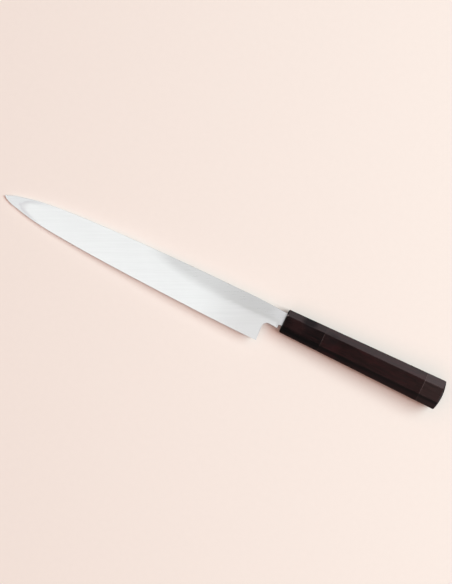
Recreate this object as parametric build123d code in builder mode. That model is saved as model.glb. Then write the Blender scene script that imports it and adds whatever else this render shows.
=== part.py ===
from build123d import *
import math
import os

# Single-bevel slicing knife with a three-piece octagonal handle, lying on its
# bevel side with the hollow-ground side up.
#
# Every dimension below is in the knife's own axes, in millimetres:
#   x  along the handle axis, 0 at the ferrule's front face, + towards the butt
#   y  across the blade, + towards the spine, - towards the cutting edge
#   z  through the blade, + towards the hollow-ground side
# The REST plane carries those axes into the object's frame: +X towards the
# butt, +Z up, origin under the middle of the object on the surface it lies on.

# ------------------------------------------------------------ resting position
REST_TILT = 2.057        # blade slopes down to its tip, degrees
REST_X = 51.835          # where the ferrule's front centre stands
REST_Y = 5.6465
REST_Z = 8.3805

# ------------------------------------------------------------------- blade
BLADE_FACE_Z = 2.0       # level of the flat rim on the hollow side
SPINE_T_NECK = 3.85      # spine thickness at the handle
SPINE_T_TIP = 2.00       # spine thickness carried on to the tip station
TIP_X = -242.7           # point of the blade
TIP_Y = -6.33
EDGE_T = 0.25            # thickness left behind the cutting edge
HEEL_X = -13.6           # heel corner
HEEL_TOP_X = -14.2       # top of the straight back edge of the heel
HEEL_TOP_Y = -12.0
NECK_IN = (-9.4, -7.20)  # end of the finger curve on the neck
MACHI_X = -2.4           # step from neck to tang
NECK_LOW_Y = -7.70       # underside of the neck at the step
SPINE_EASE = 0.30        # eased spine corners

# spine line, neck to tip
SPINE = [
    (-5.3, 6.60), (-10.0, 6.87), (-18.0, 7.28), (-40.0, 7.56), (-80.0, 7.42),
    (-120.0, 6.78), (-160.0, 5.55), (-190.0, 3.95), (-208.0, 2.25),
    (-220.0, 0.45), (-230.0, -1.75), (-238.0, -4.05), (TIP_X, TIP_Y),
]
# cutting edge stations with the height of the bevel above the edge there
EDGE = [
    (-13.6, -23.54, 16.0), (-40.0, -23.38, 15.7), (-80.0, -22.36, 15.1),
    (-120.0, -20.98, 14.4), (-160.0, -19.15, 13.5), (-190.0, -17.10, 12.6),
    (-208.0, -15.35, 11.7), (-220.0, -13.45, 10.6), (-230.0, -11.25, 9.2),
    (-238.0, -8.95, 7.8),
]
# hollow on the flat side: station, spine-side limit, edge-side limit, depth
HOLLOW = [
    (-230.6, -7.25, -7.25, -0.06),
    (-228.8, -7.17, -7.17, 0.00), (-226.0, -4.40, -9.70, 0.09),
    (-221.5, -1.85, -11.25, 0.15), (-215.5, -0.35, -12.90, 0.20),
    (-206.0, 0.95, -14.75, 0.25), (-190.0, 2.75, -16.30, 0.29),
    (-160.0, 4.35, -18.35, 0.33), (-135.0, 5.20, -19.60, 0.34),
    (-120.0, 5.20, -20.20, 0.34), (-108.0, 3.60, -20.65, 0.33),
    (-95.0, 1.10, -21.10, 0.32), (-80.0, -0.95, -21.60, 0.31),
    (-60.0, -2.20, -22.20, 0.29), (-38.0, -2.70, -22.65, 0.27),
    (-16.0, -2.40, -22.80, 0.24), (-8.0, -2.20, -22.80, 0.19),
    (-3.4, -2.20, -22.80, -0.02),
]
# sections that shape the hollow: close together at the point, then even
HOLLOW_STATIONS = [-230.6, -228.8, -226.6, -223.6, -219.6, -214.6, -208.6]
HOLLOW_STATIONS += [-201.6 + 8.0 * i for i in range(24)]
HOLLOW_STATIONS += [-11.0, -6.8, -3.4]

# -------------------------------------------------------------------- tang
TANG_END_X = 104.0
TANG_TOP = [(0.0, 6.40), (12.0, 5.10), (TANG_END_X, 2.30)]
TANG_LOW = [(MACHI_X, -4.60), (12.0, -4.30), (TANG_END_X, -2.30)]
TANG_END_T = 2.0         # thickness at the tang's end
TAPER_X = -1.2           # the tang starts to thin just in front of the handle
BED = 0.35               # bedding layer around the tang

# ------------------------------------------------------------------ handle
HANDLE_L = 139.0
GRIP_H = 19.75           # height across the narrow facets, at the front
GRIP_W = 16.8            # width between the side facets, at the front
GRIP_CORNER = 4.85       # leg of the 45 degree corner facets, at the front
GRIP_FLARE = 1.0         # each facet leans out by this many degrees
LONG_EDGE_R = 0.50       # softened long edges and rim of the butt
FRONT_EASE = 0.80        # chamfer round the ferrule's mouth
FERRULE_L = 33.4
CAP_X = 121.0            # middle of the joint between grip and butt cap
LINER_T = 0.40           # thin pale liner in each joint
CROWN_R = 38.0           # radius of the crowned butt end

# ---------------------------------------------------------- inside the handle
CORE_R = 6.5             # dowel that joins ferrule and grip and holds the tang
CORE_START_X = 10.0
CORE_END_X = 106.6
CAP_DOWEL_R = 4.0
CAP_DOWEL_START_X = 111.0
CAP_DOWEL_END_X = 132.0

os.makedirs("parts", exist_ok=True)

tilt = math.radians(REST_TILT)
REST = Plane(
    origin=(REST_X, REST_Y, REST_Z),
    x_dir=(math.cos(tilt), 0, math.sin(tilt)),
    z_dir=(-math.sin(tilt), 0, math.cos(tilt)),
)
SIDE = Plane(origin=REST.origin, x_dir=REST.x_dir, z_dir=-REST.y_dir)


def across(x):
    """Plane square to the knife's axis at station x, drawn in (y, z)."""
    return Plane(
        origin=REST.from_local_coords((x, 0, 0)), x_dir=REST.y_dir, z_dir=REST.x_dir
    )


def underside(x):
    """Level of the flat upper half of the bevel side at station x."""
    share = min(max(-x / -TIP_X, 0.0), 1.05)
    return BLADE_FACE_Z - (SPINE_T_NECK + (SPINE_T_TIP - SPINE_T_NECK) * share)


def smooth(table, x, column):
    """Value of a table's column at x, on a smooth curve without overshoot."""
    i = max(k for k in range(len(table) - 1) if table[k][0] <= x)
    rows = [table[min(max(k, 0), len(table) - 1)] for k in range(i - 1, i + 3)]
    (x0, v0), (x1, v1), (x2, v2), (x3, v3) = [(r[0], r[column]) for r in rows]
    step = (v2 - v1) / (x2 - x1)
    before = (v1 - v0) / (x1 - x0) if x1 > x0 else step
    after = (v3 - v2) / (x3 - x2) if x3 > x2 else step
    lead = 2 * before * step / (before + step) if before * step > 0 else 0.0
    tail = 2 * step * after / (step + after) if step * after > 0 else 0.0
    s = (x - x1) / (x2 - x1)
    return (
        (2 * s**3 - 3 * s**2 + 1) * v1
        + (s**3 - 2 * s**2 + s) * (x2 - x1) * lead
        + (3 * s**2 - 2 * s**3) * v2
        + (s**3 - s**2) * (x2 - x1) * tail
    )


# ================================================================== blade
# The outline and the side taper are two crossing extrusions; the wide bevel
# and the shallow hollow are then taken off with lofted shapes.
with BuildPart() as blade:
    with BuildSketch(REST.offset(-4)):
        with BuildLine():
            back = Line((HEEL_X, EDGE[0][1]), (HEEL_TOP_X, HEEL_TOP_Y))
            finger = TangentArc(back @ 1, NECK_IN, tangent=back % 1)
            Polyline(finger @ 1, (MACHI_X, NECK_LOW_Y), *TANG_LOW)
            Polyline(TANG_LOW[-1], *reversed(TANG_TOP), SPINE[0])
            Spline(*SPINE)
            Spline((TIP_X, TIP_Y), *[(x, y) for x, y, _ in reversed(EDGE)])
        make_face()
    extrude(amount=8)
    with BuildSketch(SIDE):
        with BuildLine():
            Polyline(
                (-250, BLADE_FACE_Z),
                (TAPER_X, BLADE_FACE_Z),
                (TANG_END_X + 4, TANG_END_T / 2),
                (TANG_END_X + 4, -TANG_END_T / 2),
                (TAPER_X, underside(TAPER_X)),
                (-250, underside(-250)),
                close=True,
            )
        make_face()
    extrude(amount=40, both=True, mode=Mode.INTERSECT)
    # wide single bevel from the ridge line down to the cutting edge
    bevel = [(-12.5, EDGE[0][1], EDGE[0][2])] + EDGE[1:] + [(-246.5, -3.2, 6.4)]
    for x, y_edge, height in bevel:
        y_ridge = y_edge + height
        z_ridge = underside(x)
        z_edge = BLADE_FACE_Z - EDGE_T
        fall = (z_edge - z_ridge) / height
        with BuildSketch(across(x)):
            with BuildLine():
                Polyline(
                    (y_ridge + 2.5, z_ridge - 2.5 * fall),
                    (y_edge - 2.5, z_edge + 2.5 * fall),
                    (y_edge - 2.5, -8),
                    (y_ridge + 2.5, -8),
                    close=True,
                )
            make_face()
    loft(mode=Mode.SUBTRACT)
    # shallow hollow inside a flat rim, running out through the heel and neck
    for x in HOLLOW_STATIONS:
        y_hi, y_lo, depth = (smooth(HOLLOW, x, column) for column in (1, 2, 3))
        half = (y_hi - y_lo) / 2
        mid = (y_hi + y_lo) / 2
        reach = half + 1.5
        rise = depth * (reach / half) ** 2 if half > 2 else reach**2 / 40
        z_low = BLADE_FACE_Z - depth
        z_end = z_low + rise
        with BuildSketch(across(x)):
            with BuildLine():
                Bezier((mid - reach, z_end), (mid, z_low - rise), (mid + reach, z_end))
                Polyline(
                    (mid + reach, z_end),
                    (mid + reach, BLADE_FACE_Z + 3),
                    (mid - reach, BLADE_FACE_Z + 3),
                    (mid - reach, z_end),
                )
            make_face()
    loft(mode=Mode.SUBTRACT)
    # eased spine, both corners from the neck to the point
    spine_corners = blade.edges().filter_by(
        lambda e: e.length > 200 and REST.to_local_coords(e @ 0.5).Y > 2
    )
    fillet(spine_corners, radius=SPINE_EASE)
blade.part.label = "blade"
export_step(blade.part, "parts/blade.step")

# ============================================== tapered socket for the tang
with BuildPart() as socket:
    with BuildSketch(REST.offset(-4)):
        with BuildLine():
            Polyline(
                (0, TANG_TOP[0][1] + BED),
                (12, TANG_TOP[1][1] + BED),
                (TANG_END_X + BED, TANG_TOP[2][1] + BED),
                (TANG_END_X + BED, TANG_LOW[2][1] - BED),
                (12, TANG_LOW[1][1] - BED),
                (0, TANG_LOW[0][1] - BED),
                close=True,
            )
        make_face()
    extrude(amount=8)
    with BuildSketch(SIDE):
        with BuildLine():
            Polyline(
                (TAPER_X, BLADE_FACE_Z + BED),
                (TANG_END_X + 4, TANG_END_T / 2 + BED),
                (TANG_END_X + 4, -TANG_END_T / 2 - BED),
                (TAPER_X, underside(TAPER_X) - BED),
                close=True,
            )
        make_face()
    extrude(amount=20, both=True, mode=Mode.INTERSECT)

# ==================================================== tapered octagonal blank
# Four crossing wedges, one for each pair of opposite facets, so that all eight
# facets are true planes.
facet_pairs = [
    (0, GRIP_H / 2),
    (45, (GRIP_H / 2 + GRIP_W / 2 - GRIP_CORNER) / math.sqrt(2)),
    (90, GRIP_W / 2),
    (135, (GRIP_H / 2 + GRIP_W / 2 - GRIP_CORNER) / math.sqrt(2)),
]
flare = HANDLE_L * math.tan(math.radians(GRIP_FLARE))
with BuildPart() as blank:
    for turn, half_width in facet_pairs:
        a = math.radians(turn)
        lengthwise = Plane(
            origin=REST.origin,
            x_dir=REST.x_dir,
            z_dir=REST.z_dir * math.cos(a) - REST.y_dir * math.sin(a),
        )
        with BuildSketch(lengthwise):
            with BuildLine():
                Polyline(
                    (0, -half_width),
                    (HANDLE_L, -half_width - flare),
                    (HANDLE_L, half_width + flare),
                    (0, half_width),
                    close=True,
                )
            make_face()
        extrude(
            amount=20, both=True, mode=Mode.INTERSECT if turn else Mode.ADD
        )
    mouth = blank.faces().sort_by(Axis(REST.origin, REST.x_dir))[0]
    chamfer(mouth.edges(), length=FRONT_EASE)
    # crowned butt end
    with BuildSketch(SIDE):
        with BuildLine():
            crown_r = 14.0
            crown = CenterArc(
                (HANDLE_L - CROWN_R, 0), CROWN_R,
                start_angle=0, arc_size=math.degrees(math.asin(crown_r / CROWN_R)),
            )
            Polyline(crown @ 1, (-5, crown_r), (-5, 0), crown @ 0)
        make_face()
    revolve(axis=Axis(REST.origin, REST.x_dir), mode=Mode.INTERSECT)
    long_edges = blank.edges().filter_by(lambda e: e.length > HANDLE_L / 2)
    butt = blank.faces().sort_by(Axis(REST.origin, REST.x_dir))[-1]
    fillet(long_edges + butt.edges(), radius=LONG_EDGE_R)

# ================================================================ ferrule
with BuildPart() as ferrule:
    add(blank.part)
    split(bisect_by=across(FERRULE_L), keep=Keep.BOTTOM)
    with BuildSketch(across(CORE_START_X)):
        Circle(CORE_R)
    extrude(amount=FERRULE_L, mode=Mode.SUBTRACT)
    add(socket.part, mode=Mode.SUBTRACT)
ferrule.part.label = "ferrule"
export_step(ferrule.part, "parts/ferrule.step")

# ==================================================== liner behind the ferrule
with BuildPart() as ferrule_liner:
    add(blank.part)
    split(bisect_by=across(FERRULE_L), keep=Keep.TOP)
    split(bisect_by=across(FERRULE_L + LINER_T), keep=Keep.BOTTOM)
    with BuildSketch(across(FERRULE_L - 1)):
        Circle(CORE_R)
    extrude(amount=LINER_T + 2, mode=Mode.SUBTRACT)
ferrule_liner.part.label = "ferrule_liner"
export_step(ferrule_liner.part, "parts/ferrule_liner.step")

# ================================================================== grip
GRIP_START_X = FERRULE_L + LINER_T
GRIP_END_X = CAP_X - LINER_T / 2
with BuildPart() as grip:
    add(blank.part)
    split(bisect_by=across(GRIP_START_X), keep=Keep.TOP)
    split(bisect_by=across(GRIP_END_X), keep=Keep.BOTTOM)
    with BuildSketch(across(GRIP_START_X)):
        Circle(CORE_R)
    extrude(amount=CORE_END_X - GRIP_START_X, mode=Mode.SUBTRACT)
    with BuildSketch(across(CAP_DOWEL_START_X)):
        Circle(CAP_DOWEL_R)
    extrude(amount=GRIP_END_X - CAP_DOWEL_START_X, mode=Mode.SUBTRACT)
grip.part.label = "grip"
export_step(grip.part, "parts/grip.step")

# ======================================================= liner before the cap
with BuildPart() as cap_liner:
    add(blank.part)
    split(bisect_by=across(GRIP_END_X), keep=Keep.TOP)
    split(bisect_by=across(GRIP_END_X + LINER_T), keep=Keep.BOTTOM)
    with BuildSketch(across(GRIP_END_X - 1)):
        Circle(CAP_DOWEL_R)
    extrude(amount=LINER_T + 2, mode=Mode.SUBTRACT)
cap_liner.part.label = "cap_liner"
export_step(cap_liner.part, "parts/cap_liner.step")

# =============================================================== butt cap
with BuildPart() as butt_cap:
    add(blank.part)
    split(bisect_by=across(GRIP_END_X + LINER_T), keep=Keep.TOP)
    with BuildSketch(across(GRIP_END_X + LINER_T)):
        Circle(CAP_DOWEL_R)
    extrude(
        amount=CAP_DOWEL_END_X - GRIP_END_X - LINER_T, mode=Mode.SUBTRACT
    )
butt_cap.part.label = "butt_cap"
export_step(butt_cap.part, "parts/butt_cap.step")

# ================================== slotted dowel that carries the tang
with BuildPart() as tang_dowel:
    with BuildSketch(across(CORE_START_X)):
        Circle(CORE_R)
    extrude(amount=CORE_END_X - CORE_START_X)
    add(socket.part, mode=Mode.SUBTRACT)
tang_dowel.part.label = "tang_dowel"
export_step(tang_dowel.part, "parts/tang_dowel.step")

# ======================================================= dowel of the cap
with BuildPart() as cap_dowel:
    with BuildSketch(across(CAP_DOWEL_START_X)):
        Circle(CAP_DOWEL_R)
    extrude(amount=CAP_DOWEL_END_X - CAP_DOWEL_START_X)
cap_dowel.part.label = "cap_dowel"
export_step(cap_dowel.part, "parts/cap_dowel.step")

# ============================================= resin bed around the tang
with BuildPart() as tang_resin:
    add(socket.part)
    add(blade.part, mode=Mode.SUBTRACT)
tang_resin.part.label = "tang_resin"
export_step(tang_resin.part, "parts/tang_resin.step")
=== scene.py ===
import math

import bpy
import numpy as np
from mathutils import Matrix, Vector, noise
from mathutils.geometry import delaunay_2d_cdt


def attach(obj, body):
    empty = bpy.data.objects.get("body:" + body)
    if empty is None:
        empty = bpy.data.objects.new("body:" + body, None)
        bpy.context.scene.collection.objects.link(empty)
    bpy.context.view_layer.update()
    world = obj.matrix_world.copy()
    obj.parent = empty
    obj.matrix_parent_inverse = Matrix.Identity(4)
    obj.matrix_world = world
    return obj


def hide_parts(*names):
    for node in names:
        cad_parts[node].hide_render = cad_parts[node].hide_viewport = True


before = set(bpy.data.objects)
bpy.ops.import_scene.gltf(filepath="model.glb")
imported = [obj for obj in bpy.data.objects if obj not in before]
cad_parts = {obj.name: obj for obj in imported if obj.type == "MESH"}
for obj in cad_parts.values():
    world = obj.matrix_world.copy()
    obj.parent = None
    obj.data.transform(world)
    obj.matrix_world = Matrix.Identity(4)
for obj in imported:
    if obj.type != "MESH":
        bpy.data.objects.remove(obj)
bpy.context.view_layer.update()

# ---------------------------------------------------------------------------
# The knife's own axes, in millimetres: x along the handle from the ferrule's
# front face towards the butt, y towards the spine, z out of the hollow side.
# ---------------------------------------------------------------------------
TILT = math.radians(2.057)
ORIGIN = np.array((51.835, 5.6465, 8.3805))
AX = np.array((math.cos(TILT), 0.0, math.sin(TILT)))
AY = np.array((0.0, 1.0, 0.0))
AZ = np.array((-math.sin(TILT), 0.0, math.cos(TILT)))


def to_row(points):
    """Knife millimetres to metres in the shared frame."""
    p = np.asarray(points, float).reshape(-1, 3)
    return (ORIGIN + p[:, :1] * AX + p[:, 1:2] * AY + p[:, 2:] * AZ) / 1000.0


def row_vec(x, y, z):
    return Vector(to_row([(x, y, z)])[0])


def direction(x, y, z):
    return Vector(x * AX + y * AY + z * AZ)


# ---------------------------------------------------------------------------
# Dimensions, the same as the construction model's
# ---------------------------------------------------------------------------
FACE_Z = 2.0
SPINE_T_NECK, SPINE_T_TIP = 3.85, 2.00
TIP = (-242.68, -6.33)
SPINE = [
    (-5.3, 6.60), (-10.0, 6.87), (-18.0, 7.28), (-40.0, 7.56), (-80.0, 7.42),
    (-120.0, 6.78), (-160.0, 5.55), (-190.0, 3.95), (-208.0, 2.25),
    (-220.0, 0.45), (-230.0, -1.75), (-238.0, -4.05), TIP,
]
EDGE = [
    (-13.6, -23.54, 16.0), (-40.0, -23.38, 15.7), (-80.0, -22.36, 15.1),
    (-120.0, -20.98, 14.4), (-160.0, -19.15, 13.5), (-190.0, -17.10, 12.6),
    (-208.0, -15.35, 11.7), (-220.0, -13.45, 10.6), (-230.0, -11.25, 9.2),
    (-238.0, -8.95, 7.8),
]
HOLLOW = [
    (-230.6, -7.25, -7.25, -0.06),
    (-228.8, -7.17, -7.17, 0.00), (-226.0, -4.40, -9.70, 0.09),
    (-221.5, -1.85, -11.25, 0.15), (-215.5, -0.35, -12.90, 0.20),
    (-206.0, 0.95, -14.75, 0.25), (-190.0, 2.75, -16.30, 0.29),
    (-160.0, 4.35, -18.35, 0.33), (-135.0, 5.20, -19.60, 0.34),
    (-120.0, 5.20, -20.20, 0.34), (-108.0, 3.60, -20.65, 0.33),
    (-95.0, 1.10, -21.10, 0.32), (-80.0, -0.95, -21.60, 0.31),
    (-60.0, -2.20, -22.20, 0.29), (-38.0, -2.70, -22.65, 0.27),
    (-16.0, -2.40, -22.80, 0.24), (-8.0, -2.20, -22.80, 0.19),
    (-3.4, -2.20, -22.80, -0.02),
]
HEEL_TOP = (-14.2, -12.0)
NECK_IN = (-9.4, -7.20)
MACHI_X, NECK_LOW_Y = -2.4, -7.70
TANG_END_X, TANG_END_T, TAPER_X = 104.0, 2.0, -1.2
TANG_TOP = [(0.0, 6.40), (12.0, 5.10), (TANG_END_X, 2.30)]
TANG_LOW = [(MACHI_X, -4.60), (12.0, -4.30), (TANG_END_X, -2.30)]
BED = 0.35

HANDLE_L = 139.0
HALF_H, HALF_W, CORNER = 19.75 / 2, 16.8 / 2, 4.85
HALF_D = (HALF_H + HALF_W - CORNER) / math.sqrt(2)
FLARE = math.tan(math.radians(1.0))
LONG_R = 0.50
FERRULE_L, CAP_X, LINER_T = 33.4, 121.0, 0.40
CROWN_R = 38.0
CORE_R, CORE_START, CORE_END = 6.5, 10.0, 106.6
CAP_R, CAP_START, CAP_END = 4.0, 111.0, 132.0


# ---------------------------------------------------------------------------
# Curves
# ---------------------------------------------------------------------------
def cubic(points, spacing):
    """Points along a smooth interpolating curve, about spacing apart."""
    p = np.array(points, float)
    t = np.concatenate(([0.0], np.cumsum(np.linalg.norm(np.diff(p, axis=0), axis=1))))
    n = len(p)
    h = np.diff(t)
    a = np.zeros((n, n))
    b = np.zeros((n, p.shape[1]))
    a[0, 0] = a[-1, -1] = 1.0
    for i in range(1, n - 1):
        a[i, i - 1], a[i, i], a[i, i + 1] = h[i - 1], 2 * (h[i - 1] + h[i]), h[i]
        b[i] = 6 * ((p[i + 1] - p[i]) / h[i] - (p[i] - p[i - 1]) / h[i - 1])
    m = np.linalg.solve(a, b)
    ts = np.linspace(0, t[-1], max(2, int(round(t[-1] / spacing)) + 1))
    k = np.clip(np.searchsorted(t, ts, side="right") - 1, 0, n - 2)
    u, w = (t[k + 1] - ts)[:, None], (ts - t[k])[:, None]
    hk = h[k][:, None]
    return (
        m[k] * u**3 / (6 * hk)
        + m[k + 1] * w**3 / (6 * hk)
        + (p[k] / hk - m[k] * hk / 6) * u
        + (p[k + 1] / hk - m[k + 1] * hk / 6) * w
    )


def smooth(table, xs, column):
    """A table's column at xs, on a smooth curve without overshoot."""
    t = sorted(table)
    x = np.array([r[0] for r in t])
    v = np.array([r[column] for r in t])
    d = np.diff(v) / np.diff(x)
    m = np.zeros(len(x))
    m[0], m[-1] = d[0], d[-1]
    for i in range(1, len(x) - 1):
        if d[i - 1] * d[i] > 0:
            m[i] = 2 * d[i - 1] * d[i] / (d[i - 1] + d[i])
    xs = np.asarray(xs, float)
    k = np.clip(np.searchsorted(x, xs, side="right") - 1, 0, len(x) - 2)
    h = x[k + 1] - x[k]
    s = np.clip((xs - x[k]) / h, 0, 1)
    return (
        (2 * s**3 - 3 * s**2 + 1) * v[k]
        + (s**3 - 2 * s**2 + s) * h * m[k]
        + (3 * s**2 - 2 * s**3) * v[k + 1]
        + (s**3 - s**2) * h * m[k + 1]
    )


def straight(a, b, spacing):
    n = max(1, int(round(math.dist(a, b) / spacing)))
    return [tuple(np.array(a) + (np.array(b) - np.array(a)) * i / n) for i in range(n + 1)]


def step01(v, lo, hi):
    t = np.clip((np.asarray(v, float) - lo) / (hi - lo), 0, 1)
    return t * t * (3 - 2 * t)


def inside(points, loop):
    """Which points are inside a closed loop."""
    p = np.asarray(points, float)
    q = np.asarray(loop, float)
    x, y = p[:, 0], p[:, 1]
    hit = np.zeros(len(p), bool)
    for (x0, y0), (x1, y1) in zip(q, np.roll(q, -1, axis=0)):
        if y0 == y1:
            continue
        crosses = (y0 > y) != (y1 > y)
        hit ^= crosses & (x < (x1 - x0) * (y - y0) / (y1 - y0) + x0)
    return hit


def inset(loop, dist):
    """A closed loop moved inwards; the loop runs clockwise."""
    p = np.asarray(loop, float)
    d = np.roll(p, -1, axis=0) - p
    d /= np.linalg.norm(d, axis=1)[:, None]
    n = np.stack((d[:, 1], -d[:, 0]), axis=1)
    before = np.roll(n, 1, axis=0)
    bis = n + before
    bis /= np.linalg.norm(bis, axis=1)[:, None]
    cos = np.clip((bis * n).sum(1), 0.35, 1)
    return p + bis * (np.asarray(dist) / cos)[:, None]


# ---------------------------------------------------------------------------
# Meshes
# ---------------------------------------------------------------------------
def new_piece(name, points, faces, material, node, attrs=None, sharp=None):
    """A mesh piece from knife millimetres; it stands for one CAD node."""
    points = np.asarray(points, float)
    mesh = bpy.data.meshes.new(name)
    mesh.from_pydata([tuple(v) for v in to_row(points)], [], [tuple(int(i) for i in f) for f in faces])
    mesh.polygons.foreach_set("use_smooth", [True] * len(mesh.polygons))
    kp = mesh.attributes.new("kp", "FLOAT_VECTOR", "POINT")
    kp.data.foreach_set("vector", points.astype(np.float32).ravel())
    for key, values in (attrs or {}).items():
        a = mesh.attributes.new(key, "FLOAT", "POINT")
        a.data.foreach_set("value", np.asarray(values, np.float32))
    if sharp is not None:
        flags = [
            bool(sharp(*e.vertices)) for e in mesh.edges
        ]
        s = mesh.attributes.new("sharp_edge", "BOOLEAN", "EDGE")
        s.data.foreach_set("value", flags)
    mesh.validate(clean_customdata=False)
    obj = bpy.data.objects.new(name, mesh)
    bpy.context.scene.collection.objects.link(obj)
    mesh.materials.append(material)
    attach(obj, "root")
    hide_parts(node)
    return obj


def fill(loop_sets, extra, keep_inside, keep_outside=()):
    """Triangles over a flat region. loop_sets are (points, closed) constraint
    lines; returns (points, triangles, index of every input point)."""
    pts, segs = [], []
    for line, closed in loop_sets:
        base = len(pts)
        pts += [tuple(p) for p in line]
        n = len(line)
        segs += [(base + i, base + i + 1) for i in range(n - 1)]
        if closed:
            segs.append((base + n - 1, base))
    pts += [tuple(p) for p in extra]
    out, _, tris, origin, _, _ = delaunay_2d_cdt(
        [Vector(p) for p in pts], segs, [], 0, 1e-5, True
    )
    v = np.array([(p.x, p.y) for p in out])
    where = {}
    for i, sources in enumerate(origin):
        for s in sources:
            where[s] = i
    t = np.array([tuple(f) for f in tris])
    c = v[t].mean(axis=1)
    keep = inside(c, keep_inside)
    for hole in keep_outside:
        keep &= ~inside(c, hole)
    t = t[keep]
    a, b, d = v[t[:, 0]], v[t[:, 1]], v[t[:, 2]]
    area = (b[:, 0] - a[:, 0]) * (d[:, 1] - a[:, 1]) - (b[:, 1] - a[:, 1]) * (d[:, 0] - a[:, 0])
    t[area < 0] = t[area < 0][:, ::-1]
    return v, t, where


class Builder:
    """Collects points and faces of one piece."""

    def __init__(self):
        self.points, self.faces, self.tags = [], [], []

    def add(self, pts, **tags):
        start = len(self.points)
        self.points += [tuple(p) for p in pts]
        self.tags += [tags] * len(pts)
        return list(range(start, start + len(pts)))

    def strip(self, a, b, flip=False):
        """Quads between two closed rings of equal length."""
        n = len(a)
        for i in range(n):
            j = (i + 1) % n
            f = (a[i], a[j], b[j], b[i])
            self.faces.append(f[::-1] if flip else f)


# ------------------------------------------------------------------- blade
def underside(x):
    share = np.clip(-np.asarray(x, float) / -TIP[0], 0, 1.05)
    return FACE_Z - (SPINE_T_NECK + (SPINE_T_TIP - SPINE_T_NECK) * share)


BEVEL = [(-12.5, EDGE[0][1], EDGE[0][2])] + EDGE[1:] + [(-246.5, -3.2, 6.4)]


def top_z(x, y):
    """Level of the hollow side and its distance inside the hollow's line."""
    x, y = np.asarray(x, float), np.asarray(y, float)
    hi, lo, depth = (smooth(HOLLOW, x, c) for c in (1, 2, 3))
    half = np.maximum((hi - lo) / 2, 0.05)
    mid = (hi + lo) / 2
    u = np.abs(y - mid) / half
    # a rounder bowl along the blade, a steeper run-out at the point
    lip = 2.0 + 2.2 * step01(-x, 196, 222) + 0.6 * step01(x, -70, -30)
    bowl = np.where(u < 1, depth * (1 - np.minimum(u, 1) ** lip), 0.0)
    bowl = np.where(x < -228.8, 0.0, np.maximum(bowl, 0.0))
    rim = np.minimum(hi - y, y - lo)
    rim = np.where(x < -228.8, -np.hypot(x + 228.8, y + 7.17), rim)
    rim = np.where(x > -3.6, np.minimum(rim, -(x + 3.6)), rim)
    thin = np.where(x > TAPER_X, (x - TAPER_X) / (TANG_END_X + 4 - TAPER_X), 0.0)
    return FACE_Z - bowl - thin * (FACE_Z - TANG_END_T / 2), rim


def low_z(x, y):
    """Level of the bevel side, and the distance below its ridge line."""
    x, y = np.asarray(x, float), np.asarray(y, float)
    flat = underside(x)
    y_edge, height = smooth(BEVEL, x, 1), smooth(BEVEL, x, 2)
    ridge = y_edge + height
    s = (ridge - y) / height
    bevel = flat + np.maximum(s, 0) * (FACE_Z - 0.25 - flat)
    bevel = flat + (bevel - flat) * (1 - step01(x, -13.2, -9.5))
    d = y - y_edge
    keen = FACE_Z - 0.03 - 0.577 * np.maximum(d, 0)
    keen = np.where(x > -13.0, -9, keen)
    z = np.maximum(bevel, keen)
    end = FACE_Z - (SPINE_T_NECK + (SPINE_T_TIP - SPINE_T_NECK) * 0.005)
    thin = np.where(x > TAPER_X, (x - TAPER_X) / (TANG_END_X + 4 - TAPER_X), 0.0)
    z = z + thin * (-TANG_END_T / 2 - end)
    return np.minimum(z, FACE_Z - 0.03), ridge - y


STEP = 0.95


def blade_outline():
    """Clockwise from the tip along the spine, round the tang and back along
    the edge, with the part of the outline each point belongs to."""
    spine = cubic(SPINE, STEP)[::-1]
    edge = cubic([(x, y) for x, y, _ in EDGE] + [TIP], STEP)
    loop, kind = [], []

    def put(points, what):
        for p in points:
            p = (float(p[0]), float(p[1]))
            if loop and math.dist(loop[-1], p) < 0.12:
                continue
            loop.append(p)
            kind.append(what)

    put(spine, "spine")
    put(straight(SPINE[0], TANG_TOP[0], STEP), "spine")
    put(straight(TANG_TOP[0], TANG_TOP[1], 1.6), "tang")
    put(straight(TANG_TOP[1], TANG_TOP[2], 2.5), "tang")
    put(straight(TANG_TOP[2], TANG_LOW[2], 0.8), "tang")
    put(straight(TANG_LOW[2], TANG_LOW[1], 2.5), "tang")
    put(straight(TANG_LOW[1], (0.6, TANG_LOW[0][1]), 1.6), "tang")
    put(straight((0.6, TANG_LOW[0][1]), TANG_LOW[0], 0.9), "tang")
    put(straight(TANG_LOW[0], (MACHI_X, NECK_LOW_Y), 0.7), "neck")
    put(straight((MACHI_X, NECK_LOW_Y), NECK_IN, 0.8), "neck")
    # finger curve: an arc that leaves the heel's back edge tangentially
    a, b = np.array(HEEL_TOP), np.array(NECK_IN)
    tan = np.array(HEEL_TOP) - np.array((EDGE[0][0], EDGE[0][1]))
    tan /= np.linalg.norm(tan)
    nor = np.array((tan[1], -tan[0]))
    chord = b - a
    r = chord @ chord / (2 * (chord @ nor))
    centre = a + nor * r
    a0 = math.atan2(*(a - centre)[::-1])
    a1 = math.atan2(*(b - centre)[::-1])
    if a0 < a1:
        a0 += 2 * math.pi
    arc = [centre + abs(r) * np.array((math.cos(t), math.sin(t))) for t in np.linspace(a1, a0, 12)]
    put(arc, "neck")
    put(straight(HEEL_TOP, (EDGE[0][0], EDGE[0][1]), 0.85), "neck")
    put(edge, "edge")
    if math.dist(loop[-1], loop[0]) < 0.3:
        loop.pop()
        kind.pop()
    return np.array(loop), kind


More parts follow.
